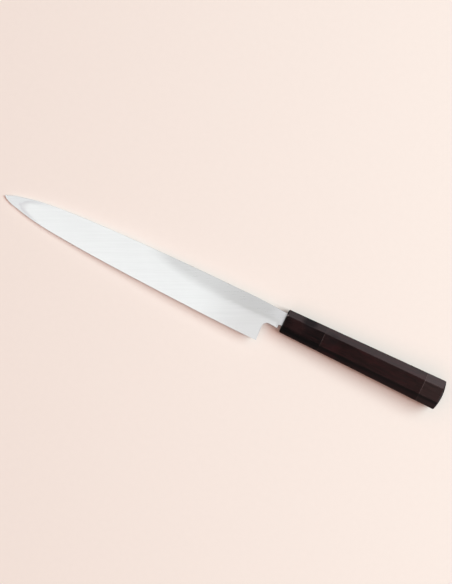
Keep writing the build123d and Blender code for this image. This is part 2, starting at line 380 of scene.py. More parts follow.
def blade_side(b, loop, height, radius, sign, lines):
    """One face of the blade: a rounded border in rings, then a filled field.
    Returns the outer ring's indices."""
    steps = (0.0, 0.25, 0.5, 0.75, 1.0)
    band = 0.30
    rings = []
    far = inset(loop, np.full(len(loop), band))
    for s in steps:
        r = radius
        ang = s * math.pi / 2
        off = band * (1 - math.cos(ang))
        ring = inset(loop, np.full(len(loop), off)) if s else loop
        z, d = height(ring[:, 0], ring[:, 1])
        z_far, _ = height(far[:, 0], far[:, 1])
        drop = r * (1 - math.sin(ang))
        use = np.where(r > 0, z_far, z)
        z = use - sign * drop
        rings.append(b.add(np.column_stack((ring, z)), side=sign))
    for a, c in zip(rings, rings[1:]):
        b.strip(a, c, flip=sign > 0)
    # interior field
    inner = inset(loop, np.full(len(loop), band))
    spots = hexes(inner, lines)
    v, t, where = fill([(inner, True)] + [(l, False) for l in lines], spots, inner)
    z, d = height(v[:, 0], v[:, 1])
    index = {}
    for i in range(len(inner)):
        index[where[i]] = rings[-1][i]
    fresh = [i for i in range(len(v)) if i not in index]
    ids = b.add(np.column_stack((v[fresh], z[fresh])), side=sign)
    for i, k in zip(fresh, ids):
        index[i] = k
    for f in t:
        g = tuple(index[int(i)] for i in f)
        b.faces.append(g if sign > 0 else g[::-1])
    keep = set()
    base = len(inner)
    for l in lines:
        for i in range(len(l) - 1):
            p, q = where.get(base + i), where.get(base + i + 1)
            keep.add(frozenset((index[p], index[q])))
        base += len(l)
    return rings[0], keep


def hexes(loop, lines, gap=STEP):
    """Evenly spaced points inside a loop, clear of it and of the lines."""
    lo, hi = loop.min(0), loop.max(0)
    rows = np.arange(lo[1], hi[1], gap * math.sqrt(3) / 2)
    grid = [
        (x, y)
        for i, y in enumerate(rows)
        for x in np.arange(lo[0] + (gap / 2 if i % 2 else 0), hi[0], gap)
    ]
    grid = np.array(grid)
    grid = grid[inside(grid, loop)]
    grid = grid[(grid[:, 0] < 14) | ((np.arange(len(grid)) % 2) == 0)]
    marks = np.concatenate([loop] + [np.asarray(l, float) for l in lines])
    near = np.full(len(grid), 9.0)
    for m in marks:
        near = np.minimum(near, np.hypot(grid[:, 0] - m[0], grid[:, 1] - m[1]))
    return grid[near > 0.62 * gap]


def clip_line(line, loop, margin=0.35):
    """The part of a line inside a loop, ended on the loop's nearest points."""
    line = np.asarray(line, float)
    ok = inside(line, loop)
    d = np.array([np.hypot(loop[:, 0] - p[0], loop[:, 1] - p[1]).min() for p in line])
    ok &= d > margin
    idx = np.where(ok)[0]
    body = line[idx[0]: idx[-1] + 1]
    out = []
    for end in (body[0], body[-1]):
        k = np.hypot(loop[:, 0] - end[0], loop[:, 1] - end[1]).argmin()
        out.append(loop[k] if np.hypot(*(loop[k] - end)) < 1.6 else None)
    pts = list(body)
    if out[0] is not None:
        pts.insert(0, out[0])
    if out[1] is not None:
        pts.append(out[1])
    return np.array(pts)


def make_blade(material):
    loop, kind = blade_outline()
    radius = np.array([{"spine": 0.30, "tang": 0.12, "neck": 0.22, "edge": 0.0}[k] for k in kind])
    # the rounding dies out into the edge at the heel and into the point
    away_heel = np.hypot(loop[:, 0] + 13.6, loop[:, 1] + 23.54)
    away_tip = np.hypot(loop[:, 0] - TIP[0], loop[:, 1] - TIP[1])
    radius *= step01(away_heel, 0.2, 4.0) * (0.25 + 0.75 * step01(away_tip, 1.0, 26.0))
    radius[(away_tip < 0.5) | (away_heel < 0.3)] = 0.0
    inner = inset(loop, np.full(len(loop), 0.30))
    xs = np.arange(-228.8, -3.6, STEP)
    hi = np.column_stack((xs, smooth(HOLLOW, xs, 1)))
    lo = np.column_stack((xs, smooth(HOLLOW, xs, 2)))
    lo = lo[lo[:, 0] < -13.0]
    hi = clip_line(np.vstack((hi, straight((-3.6, -2.2), (-3.6, -7.9), STEP))), inner)
    lo = clip_line(lo[1:], inner, 0.2)
    lo = np.vstack(([hi[0]], lo))
    xr = np.arange(-245.0, -12.0, STEP)
    ridge = np.column_stack((xr, smooth(BEVEL, xr, 1) + smooth(BEVEL, xr, 2)))
    ridge = clip_line(ridge, inner)
    xk = np.arange(-238.0, -15.0, STEP)
    koba = np.column_stack((xk, smooth(BEVEL, xk, 1) + 0.616))
    koba = clip_line(koba, inner, 0.12)
    b = Builder()
    top, _ = blade_side(b, loop, top_z, radius, 1, [hi, lo])
    low, creases = blade_side(b, loop, low_z, radius, -1, [ridge, koba])
    # side wall, with one row of points half way
    pts = np.array([b.points[i] for i in top]), np.array([b.points[i] for i in low])
    middle = b.add((pts[0] + pts[1]) / 2, side=0)
    b.strip(top, middle)
    b.strip(middle, low)
    p = np.array(b.points)
    side = np.array([t["side"] for t in b.tags])
    _, rim = top_z(p[:, 0], p[:, 1])
    _, drop = low_z(p[:, 0], p[:, 1])
    edge_pairs = set(creases)
    n = len(loop)
    is_edge = [k == "edge" for k in kind]
    tip_i = int(away_tip.argmin())
    for i in range(n):
        j = (i + 1) % n
        if is_edge[i] or i == tip_i or j == tip_i:
            edge_pairs.add(frozenset((top[i], top[j])))
            edge_pairs.add(frozenset((low[i], low[j])))
    return new_piece(
        "knife_blade", p, b.faces, material, "blade",
        attrs={
            "face": side.astype(float),
            "rim": np.where(side > 0, rim, -20.0),
            "below": np.where(side < 0, drop, -20.0),
        },
        sharp=lambda i, j: frozenset((i, j)) in edge_pairs,
    )


# ------------------------------------------------------------------ handle
def octagon(x, shrink=0.0, per_facet=6, per_corner=4, radius=LONG_R):
    """Section of the handle at station x: points (y, z) round it, and how near
    each point is to a corner (1 on the corner)."""
    grow = x * FLARE - shrink
    dist = [HALF_H, HALF_D, HALF_W, HALF_D, HALF_H, HALF_D, HALF_W, HALF_D]
    dist = [d + grow for d in dist]
    pts, corner = [], []
    for k in range(8):
        a, c = math.radians(45 * k), math.radians(45 * (k + 1))
        na, nc = np.array((math.cos(a), math.sin(a))), np.array((math.cos(c), math.sin(c)))
        m = np.array((na, nc))
        centre = np.linalg.solve(m, np.array((dist[k] - radius, dist[(k + 1) % 8] - radius)))
        for i in range(per_corner + 1):
            t = a + (c - a) * i / per_corner
            pts.append(centre + radius * np.array((math.cos(t), math.sin(t))))
            corner.append(1.0)
        d = (c + math.radians(45))
        nd = np.array((math.cos(d), math.sin(d)))
        m2 = np.array((nc, nd))
        nxt = np.linalg.solve(m2, np.array((dist[(k + 1) % 8] - radius, dist[(k + 2) % 8] - radius)))
        start, end = pts[-1], nxt + radius * nc
        for s in facet_steps(per_facet):
            pts.append(start + (end - start) * s)
            corner.append(0.0)
    return np.array(pts), np.array(corner)


def facet_steps(n):
    inner = list(np.linspace(0.0, 1.0, n + 2)[1:-1])
    return [0.045] + inner + [0.955]


RING = len(octagon(10.0)[0])


def stations(a, b, spacing):
    return list(np.linspace(a, b, max(2, int(round((b - a) / spacing)) + 1)))


def waver(points, amount, seed):
    """Tiny hand-finished unevenness, always inwards."""
    out = np.array(points, float)
    for i, p in enumerate(out):
        q = Vector((p[0] * 0.045 + seed, p[1] * 0.11, p[2] * 0.11))
        w = (noise.noise(q) + 0.55 * noise.noise(q * 2.7 + Vector((7, 3, 1)))) * 0.5 + 0.5
        r = math.hypot(p[1], p[2])
        if r > 5:
            k = amount * min(max(w, 0.0), 1.0) / r
            out[i, 1] -= p[1] * k
            out[i, 2] -= p[2] * k
    return out


def ring3(x, shrink=0.0, radius=LONG_R):
    s, corner = octagon(x, shrink, radius=radius)
    return np.column_stack((np.full(len(s), x), s)), corner


def circle(x, r):
    """A ring with its points at the angles of the handle's section."""
    s, _ = octagon(20.0)
    ang = np.arctan2(s[:, 1], s[:, 0])
    return np.column_stack((np.full(RING, x), r * np.cos(ang), r * np.sin(ang)))


class Turned(Builder):
    """A handle piece made of rings along x."""

    def __init__(self):
        super().__init__()
        self.corner = []

    def ring(self, x, shrink=0.0, radius=LONG_R):
        pts, corner = ring3(x, shrink, radius)
        self.corner += list(corner)
        return self.add(pts, end=0.0)

    def round(self, x, r, end=0.0):
        self.corner += [0.0] * RING
        return self.add(circle(x, r), end=end)

    def loose(self, pts, end=0.0):
        self.corner += [0.0] * len(pts)
        return self.add(pts, end=end)

    def disc(self, x, ring, r, forward):
        """Closes a ring with smaller rings and a point."""
        last = ring
        for s in (0.66, 0.33):
            nxt = self.round(x, r * s, end=1.0)
            self.strip(last, nxt, flip=forward)
            last = nxt
        (tip,) = self.loose([(x, 0.0, 0.0)], end=1.0)
        for i in range(RING):
            j = (i + 1) % RING
            f = (last[i], last[j], tip)
            self.faces.append(f[::-1] if forward else f)

    def along(self, rings, flip=False):
        for a, b in zip(rings, rings[1:]):
            self.strip(a, b, flip=flip)


def angle_sharp(points, faces, limit):
    """Edges whose faces meet at more than the limit, by direction."""
    p = np.asarray(points, float)
    seen = {}
    normals = []
    for f in faces:
        q = p[list(f)]
        n = np.zeros(3)
        for i in range(len(q)):
            n += np.cross(q[i] - q[0], q[(i + 1) % len(q)] - q[0])
        normals.append(n / (np.linalg.norm(n) or 1))
    for k, f in enumerate(faces):
        for i in range(len(f)):
            seen.setdefault(frozenset((f[i], f[(i + 1) % len(f)])), []).append(k)
    c = math.cos(math.radians(limit))
    return {
        e for e, ks in seen.items()
        if len(ks) == 2 and normals[ks[0]] @ normals[ks[1]] < c
    }


def finish_turned(name, t, material, node, seed, uneven=0.03, hard=38):
    # the rings run so that their strips look inwards until they are turned over
    t.faces = [f[::-1] for f in t.faces]
    pts = waver(t.points, uneven, seed)
    hard_edges = angle_sharp(pts, t.faces, hard)
    end = [tag.get("end", 0.0) for tag in t.tags]
    return new_piece(
        name, pts, t.faces, material, node,
        attrs={"corner": t.corner, "endface": end},
        sharp=lambda i, j: frozenset((i, j)) in hard_edges,
    )


EASE = 0.05      # eased rims in the glued joints


def slot_at(x):
    """The tapered socket's section at station x, as (y, z) corners."""
    y_hi = float(np.interp(x, [0, 12, 104], [6.75, 5.45, 2.65]))
    y_lo = float(np.interp(x, [0, 12, 104], [-4.95, -4.65, -2.65]))
    k = (x - TAPER_X) / (TANG_END_X + 4 - TAPER_X)
    z_hi = FACE_Z + BED + k * (TANG_END_T / 2 - FACE_Z)
    bottom = float(underside(TAPER_X))
    z_lo = bottom - BED + k * (-TANG_END_T / 2 - bottom)
    return y_lo, y_hi, z_lo, z_hi


def slot_loop(x, n_long=9, n_short=4):
    y_lo, y_hi, z_lo, z_hi = slot_at(x)
    c = [(y_lo, z_lo), (y_hi, z_lo), (y_hi, z_hi), (y_lo, z_hi)]
    out = []
    for k in range(4):
        a, b = np.array(c[k]), np.array(c[(k + 1) % 4])
        n = n_long if k % 2 == 0 else n_short
        out += [tuple(a + (b - a) * i / n) for i in range(n)]
    return [(x, y, z) for y, z in out]


def plane_ring(t, outer, hole, forward):
    """Fills the flat face between an outer ring and a hole in the same plane
    with triangles; forward faces look towards +x."""
    po = [(t.points[i][1], t.points[i][2]) for i in outer]
    ph = [(t.points[i][1], t.points[i][2]) for i in hole]
    v, tris, where = fill([(po, True), (ph, True)], [], po, [ph])
    index = {}
    for i, k in enumerate(outer):
        index[where[i]] = k
    for i, k in enumerate(hole):
        index[where[len(outer) + i]] = k
    rim = {frozenset((loop[i - 1], loop[i])) for loop in (outer, hole) for i in range(len(loop))}
    faces = [tuple(index[int(i)] for i in f) for f in tris]
    uses = {}
    for g in faces:
        for i in range(3):
            e = frozenset((g[i - 1], g[i]))
            uses[e] = uses.get(e, 0) + 1
    for g in faces:
        # a sliver outside a straight stretch of the rim has a free side
        sides = [frozenset((g[i - 1], g[i])) for i in range(3)]
        if any(uses[e] == 1 and e not in rim for e in sides):
            continue
        t.faces.append(g[::-1] if forward else g)


def make_ferrule(material):
    t = Turned()
    # chamfered mouth with softened rims, then the tapering body
    mouth = [(0.0, 0.95), (0.015, 0.86), (0.06, 0.76), (0.36, 0.44), (0.72, 0.08), (0.84, 0.02), (0.98, 0.0)]
    rings = [t.ring(x, s) for x, s in mouth]
    rings += [t.ring(x) for x in stations(1.6, FERRULE_L - 0.5, 1.6)]
    rings += [t.ring(FERRULE_L - 0.16), t.ring(FERRULE_L - 0.05, EASE * 0.35), t.ring(FERRULE_L, EASE)]
    t.along(rings, flip=True)
    # rear face, bore, and the socket's slot
    rear = t.round(FERRULE_L, CORE_R, end=1.0)
    t.strip(rings[-1], rear, flip=True)
    bores = [rear] + [t.round(x, CORE_R) for x in stations(FERRULE_L, CORE_START, 4.0)[1:]]
    t.along(bores, flip=True)
    slots = [t.loose(slot_loop(x), end=1.0 if x == 0 else 0.0) for x in stations(0.0, CORE_START, 2.0)]
    for a, b in zip(slots, slots[1:]):
        t.strip(a, b)
    plane_ring(t, rings[0], slots[0], False)
    plane_ring(t, bores[-1], slots[-1], True)
    for i in rings[0]:
        t.tags[i] = {"end": 1.0}
    return finish_turned("handle_ferrule", t, material, "ferrule", 3.1)


def make_liner(name, node, x0, r, material, seed):
    t = Turned()
    a, b = x0, x0 + LINER_T
    rings = [t.ring(a, EASE), t.ring(a + 0.07, 0.03), t.ring((a + b) / 2, 0.025), t.ring(b - 0.07, 0.03), t.ring(b, EASE)]
    t.along(rings, flip=True)
    rear, front = t.round(b, r, end=1.0), t.round(a, r, end=1.0)
    t.strip(rings[-1], rear, flip=True)
    t.strip(rear, front, flip=True)
    t.strip(front, rings[0], flip=True)
    return finish_turned(name, t, material, node, seed)


def make_grip(material):
    t = Turned()
    a, b = FERRULE_L + LINER_T, CAP_X - LINER_T / 2
    rings = [t.ring(a, EASE), t.ring(a + 0.05, EASE * 0.35), t.ring(a + 0.16)]
    rings += [t.ring(x) for x in stations(a + 0.6, b - 0.6, 1.8)]
    rings += [t.ring(b - 0.16), t.ring(b - 0.05, EASE * 0.35), t.ring(b, EASE)]
    t.along(rings, flip=True)
    rear = t.round(b, CAP_R, end=1.0)
    t.strip(rings[-1], rear, flip=True)
    back = [rear] + [t.round(x, CAP_R) for x in stations(b, CAP_START, 4.0)[1:]]
    t.along(back, flip=True)
    t.disc(CAP_START, back[-1], CAP_R, True)
    front = t.round(a, CORE_R, end=1.0)
    bore = [front] + [t.round(x, CORE_R) for x in stations(a, CORE_END, 6.0)[1:]]
    t.along(bore)
    t.disc(CORE_END, bore[-1], CORE_R, False)
    t.strip(front, rings[0], flip=True)
    return finish_turned("handle_grip", t, material, "grip", 11.7)


def make_cap(material):
    """The end section; its long facets roll over a soft rim into a shallow
    crowned end."""
    t = Turned()
    a = CAP_X + LINER_T / 2
    rings = [t.ring(a, EASE), t.ring(a + 0.05, EASE * 0.35), t.ring(a + 0.16)]
    body_end = HANDLE_L - 4.6
    rings += [t.ring(x) for x in stations(a + 0.6, body_end, 1.6)]
    base, corner = octagon(body_end)
    centre_x = HANDLE_L - CROWN_R
    soft = 0.95
    ang = np.arctan2(base[:, 1], base[:, 0])
    rho0 = np.hypot(base[:, 0], base[:, 1])
    grow = rho0 * (FLARE / (HALF_H + body_end * FLARE))
    steps = 7
    arcs, lasts = [], []
    for k in range(RING):
        # circle that touches the facet's line and the crown, in the plane of this ray
        m = grow[k]
        off = soft * math.hypot(1, m)
        lo_x, hi_x = body_end, HANDLE_L
        for _ in range(50):
            x = (lo_x + hi_x) / 2
            rho = rho0[k] + m * (x - body_end) - off
            if math.hypot(x - centre_x, rho) < CROWN_R - soft:
                lo_x = x
            else:
                hi_x = x
        xc, rc = lo_x, rho0[k] + m * (lo_x - body_end) - off
        a0 = math.pi / 2 + math.atan(m)
        a1 = math.atan2(rc, xc - centre_x)
        arc = [
            (xc + soft * math.cos(a0 + (a1 - a0) * i / steps), rc + soft * math.sin(a0 + (a1 - a0) * i / steps))
            for i in range(steps + 1)
        ]
        arcs.append(arc)
        lasts.append(arc[-1])
    for i in range(steps + 1):
        pts = [(arcs[k][i][0], arcs[k][i][1] * math.cos(ang[k]), arcs[k][i][1] * math.sin(ang[k])) for k in range(RING)]
        t.corner += [max(c, 0.75 if 0 < i < steps else 0.0) for c in corner]
        rings.append(t.add(pts, end=i / steps))
    for s in (0.93, 0.84, 0.72, 0.58, 0.44, 0.30, 0.16):
        pts = []
        for k in range(RING):
            r = lasts[k][1] * s
            x = centre_x + math.sqrt(CROWN_R**2 - r * r)
            pts.append((x, r * math.cos(ang[k]), r * math.sin(ang[k])))
        t.corner += [0.0] * RING
        rings.append(t.add(pts, end=1.0))
    t.along(rings, flip=True)
    (pole,) = t.loose([(HANDLE_L, 0.0, 0.0)], end=1.0)
    last = rings[-1]
    for i in range(RING):
        j = (i + 1) % RING
        t.faces.append((last[j], last[i], pole))
    front = t.round(a, CAP_R, end=1.0)
    bore = [front] + [t.round(x, CAP_R) for x in stations(a, CAP_END, 4.0)[1:]]
    t.along(bore)
    t.disc(CAP_END, bore[-1], CAP_R, False)
    t.strip(front, rings[0], flip=True)
    return finish_turned("handle_butt_cap", t, material, "butt_cap", 23.9, hard=50)


# ---------------------------------------------------------------------------
# Materials
# ---------------------------------------------------------------------------
class Nodes:
    """Short names for building a node tree."""

    def __init__(self, name):
        self.mat = bpy.data.materials.new(name)
        self.mat.use_nodes = True
        self.tree = self.mat.node_tree
        self.tree.nodes.clear()
        self.out = self.tree.nodes.new("ShaderNodeOutputMaterial")
        self.shader = self.tree.nodes.new("ShaderNodeBsdfPrincipled")
        self.link(self.shader.outputs[0], self.out.inputs[0])

    def link(self, a, b):
        self.tree.links.new(a, b)

    def node(self, kind, **settings):
        n = self.tree.nodes.new(kind)
        for k, v in settings.items():
            setattr(n, k, v)
        return n

    def feed(self, socket, value):
        if isinstance(value, bpy.types.NodeSocket):
            self.link(value, socket)
        elif value is not None:
            socket.default_value = value

    def attr(self, name, out="Fac"):
        n = self.node("ShaderNodeAttribute", attribute_name=name)
        return n.outputs[out]

    def math(self, op, a, b=None, c=None, clamp=False):
        n = self.node("ShaderNodeMath", operation=op, use_clamp=clamp)
        for s, v in zip(n.inputs, (a, b, c)):
            self.feed(s, v)
        return n.outputs[0]

    def scale(self, vector, factors):
        n = self.node("ShaderNodeVectorMath", operation="MULTIPLY")
        self.feed(n.inputs[0], vector)
        n.inputs[1].default_value = factors
        return n.outputs[0]

    def plus(self, vector, other):
        n = self.node("ShaderNodeVectorMath", operation="ADD")
        self.feed(n.inputs[0], vector)
        self.feed(n.inputs[1], other)
        return n.outputs[0]

    def turned(self, vector, degrees, factors):
        """Vector turned about z, then scaled."""
        n = self.node("ShaderNodeVectorRotate", rotation_type="Z_AXIS")
        self.feed(n.inputs["Vector"], vector)
        n.inputs["Angle"].default_value = math.radians(degrees)
        return self.scale(n.outputs[0], factors)

    def noise(self, vector, scale=1.0, detail=3.0, rough=0.5, distortion=0.0, out="Fac"):
        n = self.node("ShaderNodeTexNoise", noise_dimensions="3D")
        self.feed(n.inputs["Vector"], vector)
        n.inputs["Scale"].default_value = scale
        n.inputs["Detail"].default_value = detail
        n.inputs["Roughness"].default_value = rough
        n.inputs["Distortion"].default_value = distortion
        return n.outputs[out]

    def between(self, value, lo, hi, out_lo=0.0, out_hi=1.0, smooth=True):
        n = self.node("ShaderNodeMapRange", interpolation_type="SMOOTHSTEP" if smooth else "LINEAR")
        self.feed(n.inputs[0], value)
        for i, v in enumerate((lo, hi, out_lo, out_hi), 1):
            self.feed(n.inputs[i], v)
        return n.outputs[0]

    def mix(self, factor, a, b, blend="MIX"):
        n = self.node("ShaderNodeMix", data_type="RGBA", blend_type=blend)
        self.feed(n.inputs[0], factor)
        self.feed(n.inputs[6], a if isinstance(a, bpy.types.NodeSocket) else (*a, 1.0))
        self.feed(n.inputs[7], b if isinstance(b, bpy.types.NodeSocket) else (*b, 1.0))
        return n.outputs[2]

    def split(self, vector):
        n = self.node("ShaderNodeSeparateXYZ")
        self.feed(n.inputs[0], vector)
        return n.outputs

    def bump(self, height, strength, distance, normal=None):
        n = self.node("ShaderNodeBump")
        n.inputs["Strength"].default_value = strength
        n.inputs["Distance"].default_value = distance
        self.feed(n.inputs["Height"], height)
        if normal is not None:
            self.feed(n.inputs["Normal"], normal)
        return n.outputs[0]

    def set(self, **values):
        for k, v in values.items():
            self.feed(self.shader.inputs[k.replace("_", " ")], v)


def rgb(r, g, b):
    """A display colour, 0 to 255, as linear light."""
    def one(c):
        c /= 255
        return c / 12.92 if c <= 0.04045 else ((c + 0.055) / 1.055) ** 2.4
    return tuple(one(c) for c in (r, g, b))


def steel():
    m = Nodes("blade_steel")
    kp = m.attr("kp", "Vector")
    x, y, z = m.split(kp)
    face, rim, below = m.attr("face"), m.attr("rim"), m.attr("below")
    # satin streaks, slanting up towards the handle
    fine = m.noise(m.turned(kp, -25, (0.05, 5.5, 0.4)), 1.0, 3.0, 0.65)
    broad = m.noise(m.turned(kp, -25, (0.022, 0.85, 0.2)), 1.0, 3.0, 0.55)
    hair = m.noise(m.turned(kp, -21, (0.09, 13.0, 0.4)), 1.0, 2.0, 0.7)
    cloud = m.noise(m.scale(kp, (0.03, 0.05, 0.05)), 1.0, 3.0, 0.5)
    # ragged line between hollow and flat rim
    wobble = m.math("MULTIPLY", m.math("SUBTRACT", m.noise(m.turned(kp, -25, (0.10, 0.8, 0.3)), 1.0, 3.0, 0.6), 0.5), 3.2)
    line = m.math("ADD", rim, m.math("MULTIPLY", wobble, m.between(x, -150, -60)))
    spine_side = m.between(y, -13.0, -8.0)
    # painted shade: the steel is painted darker towards the handle, standing in for its darker reflection there
    light = rgb(221, 225, 225)
    colour = m.mix(m.between(x, -74, -24), light, rgb(206, 208, 208))
    # painted reflection: the flat rim near the spine is painted darker, standing in for
    # the darker reflection of its finer polish, and is made a little smoother; the tone runs on softly into the hollow
    near_handle = m.between(x, -127, -97)
    band = m.math("MULTIPLY", m.between(line, 5.5, -3.0), m.math("MULTIPLY", near_handle, spine_side))
    flat_rim_shade_tone = m.mix(m.between(x, -75, -28), rgb(194, 197, 197), rgb(183, 185, 185))
    flat_rim_shade_tone = m.mix(m.between(x, -16, -6), flat_rim_shade_tone, rgb(192, 194, 195))
    colour = m.mix(band, colour, flat_rim_shade_tone)
    # painted reflection and shade: the flat at the point is painted darker, and the dark lip where the hollow starts in
    # it and the hollow's apex are painted shade
    point_flat_shade = m.math("MULTIPLY", m.between(rim, 0.9, -0.4), m.between(x, -196, -222))
    on_top = m.between(face, 0.0, 0.5)
    point_flat_shade = m.math("MULTIPLY", point_flat_shade, on_top)
    colour = m.mix(m.math("MULTIPLY", point_flat_shade, 0.9), colour, rgb(209, 213, 214))
    point_lip_shade = m.math("MULTIPLY", m.between(rim, 2.6, 0.0), m.between(rim, -2.0, -0.1))
    point_lip_shade = m.math("MULTIPLY", point_lip_shade, m.between(x, -209, -226))
    colour = m.mix(m.math("MULTIPLY", point_lip_shade, 0.95), colour, rgb(199, 201, 203))
    apex_shade = m.math("MULTIPLY", m.between(rim, -0.2, 0.8), m.between(x, -220.5, -227.5))
    colour = m.mix(m.math("MULTIPLY", apex_shade, 0.8), colour, rgb(203, 205, 206))
    # painted shade: a soft dark line along the hollow's upper rim next to the handle
    neck_lip_shade = m.math("MULTIPLY", m.between(line, 2.6, 0.3), m.between(line, -2.2, 0.0))
    neck_lip_shade = m.math("MULTIPLY", neck_lip_shade, m.math("MULTIPLY", m.between(x, -66, -24), spine_side))
    colour = m.mix(m.math("MULTIPLY", neck_lip_shade, 0.55), colour, rgb(178, 180, 179))
    # streaks and clouds in tone
    tone = m.math("ADD", m.math("MULTIPLY", m.math("SUBTRACT", fine, 0.5), 0.10), m.math("MULTIPLY", m.math("SUBTRACT", broad, 0.5), 0.10))
    tone = m.math("ADD", tone, m.math("MULTIPLY", m.math("SUBTRACT", cloud, 0.5), 0.06))
    shade = m.math("ADD", 1.0, tone)
    grey = m.node("ShaderNodeCombineXYZ")
    for s in grey.inputs:
        m.link(shade, s)
    colour = m.mix(1.0, colour, grey.outputs[0], "MULTIPLY")
    # the ridge side: soft lamination haze above the edge, on the bevel
    on_low = m.between(face, 0.0, -0.5)
    bevel = m.math("MULTIPLY", on_low, m.between(below, -0.15, 0.15))
    haze = m.math("MULTIPLY", bevel, m.between(m.math("ADD", below, m.math("MULTIPLY", m.math("SUBTRACT", cloud, 0.5), 3.0)), 9.0, 11.0))
    colour = m.mix(m.math("MULTIPLY", haze, 0.35), colour, rgb(196, 198, 200))
    m.set(Base_Color=colour)
    m.shader.inputs["Metallic"].default_value = 1.0
    m.shader.inputs["IOR"].default_value = 2.2
    rough = m.math("ADD", 0.36, m.math("MULTIPLY", m.math("SUBTRACT", fine, 0.5), 0.16))
    rough = m.math("SUBTRACT", rough, m.math("MULTIPLY", band, 0.06))
    rough = m.math("ADD", rough, m.math("MULTIPLY", haze, 0.08))
    m.set(Roughness=rough)
    scratch = m.math("ADD", m.math("MULTIPLY", fine, 0.6), m.math("MULTIPLY", hair, 0.4))
    n = m.bump(scratch, 0.35, 0.00002)
    n = m.bump(broad, 0.25, 0.00004, n)
    m.set(Normal=n)
    return m.mat


